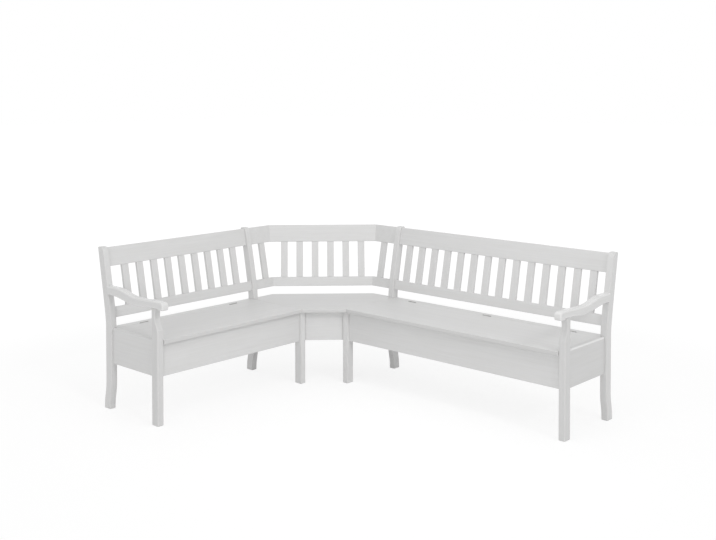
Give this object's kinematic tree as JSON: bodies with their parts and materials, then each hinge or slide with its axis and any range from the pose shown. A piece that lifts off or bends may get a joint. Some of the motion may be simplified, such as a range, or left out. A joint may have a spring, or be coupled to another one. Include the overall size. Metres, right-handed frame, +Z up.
{
  "type": "corner storage bench",
  "caption": "L-shaped corner bench with raked slatted backrests, scrolled armrests, splayed posts, a seat with hinged lids over storage chests and a fixed seat cut straight across the corner.",
  "frame": {"origin": "on the floor, under the middle of the bench's box", "axes": "+X along the long wing towards its arm, +Y to the rear of the long wing, +Z up; the short wing runs along -Y from the corner at -X, +Y"},
  "size_m": [2.2644, 1.828, 0.908],
  "materials": {
    "white_paint": "satin white paint over wood",
    "inner_paint": "matt white paint over wood",
    "hinge_steel": "brushed"
  },
  "bodies": {
    "bench": {"corner_back_panel": "inner_paint", "corner_front_panel": "white_paint", "corner_lower_rail": "white_paint", "corner_seat": "white_paint", "corner_slat_1": "white_paint", "corner_slat_2": "white_paint", "corner_slat_3": "white_paint", "corner_slat_4": "white_paint", "corner_slat_5": "white_paint", "corner_slat_6": "white_paint", "corner_slat_7": "white_paint", "corner_slat_8": "white_paint", "corner_top_rail": "white_paint", "left_arm": "white_paint", "left_back_panel": "inner_paint", "left_chest_floor": "inner_paint", "left_end_leg": "white_paint", "left_end_panel": "white_paint", "left_end_post": "white_paint", "left_front_panel": "white_paint", "left_hinge_1_fixed_leaf": "hinge_steel", "left_hinge_2_fixed_leaf": "hinge_steel", "left_joint_leg": "white_paint", "left_joint_post": "white_paint", "left_lower_rail": "white_paint", "left_partition": "inner_paint", "left_seat_strip": "white_paint", "left_slat_1": "white_paint", "left_slat_2": "white_paint", "left_slat_3": "white_paint", "left_slat_4": "white_paint", "left_slat_5": "white_paint", "left_slat_6": "white_paint", "left_slat_7": "white_paint", "left_slat_8": "white_paint", "left_slat_9": "white_paint", "left_top_rail": "white_paint", "right_arm": "white_paint", "right_back_panel": "inner_paint", "right_chest_floor": "inner_paint", "right_end_leg": "white_paint", "right_end_panel": "white_paint", "right_end_post": "white_paint", "right_front_panel": "white_paint", "right_hinge_1_fixed_leaf": "hinge_steel", "right_hinge_2_fixed_leaf": "hinge_steel", "right_hinge_3_fixed_leaf": "hinge_steel", "right_joint_leg": "white_paint", "right_joint_post": "white_paint", "right_lower_rail_and_slats": "white_paint", "right_partition": "inner_paint", "right_seat_strip": "white_paint", "right_top_rail": "white_paint"},
    "left_lid": {"left_lid": "white_paint", "left_hinge_1_moving_leaf": "hinge_steel", "left_hinge_2_moving_leaf": "hinge_steel"},
    "right_lid": {"right_lid": "white_paint", "right_hinge_1_moving_leaf": "hinge_steel", "right_hinge_2_moving_leaf": "hinge_steel", "right_hinge_3_moving_leaf": "hinge_steel"}
  },
  "joints": [
    {"name": "left_lid_hinge", "type": "hinge", "parent": "bench", "child": "left_lid", "pos_m": [-0.99735, -0.3549, 0.46], "axis": [0, -1, 0], "range_deg": [0, 101]},
    {"name": "right_lid_hinge", "type": "hinge", "parent": "bench", "child": "right_lid", "pos_m": [0.3549, 0.77915, 0.46], "axis": [-1, 0, 0], "range_deg": [0, 101]}
  ]
}
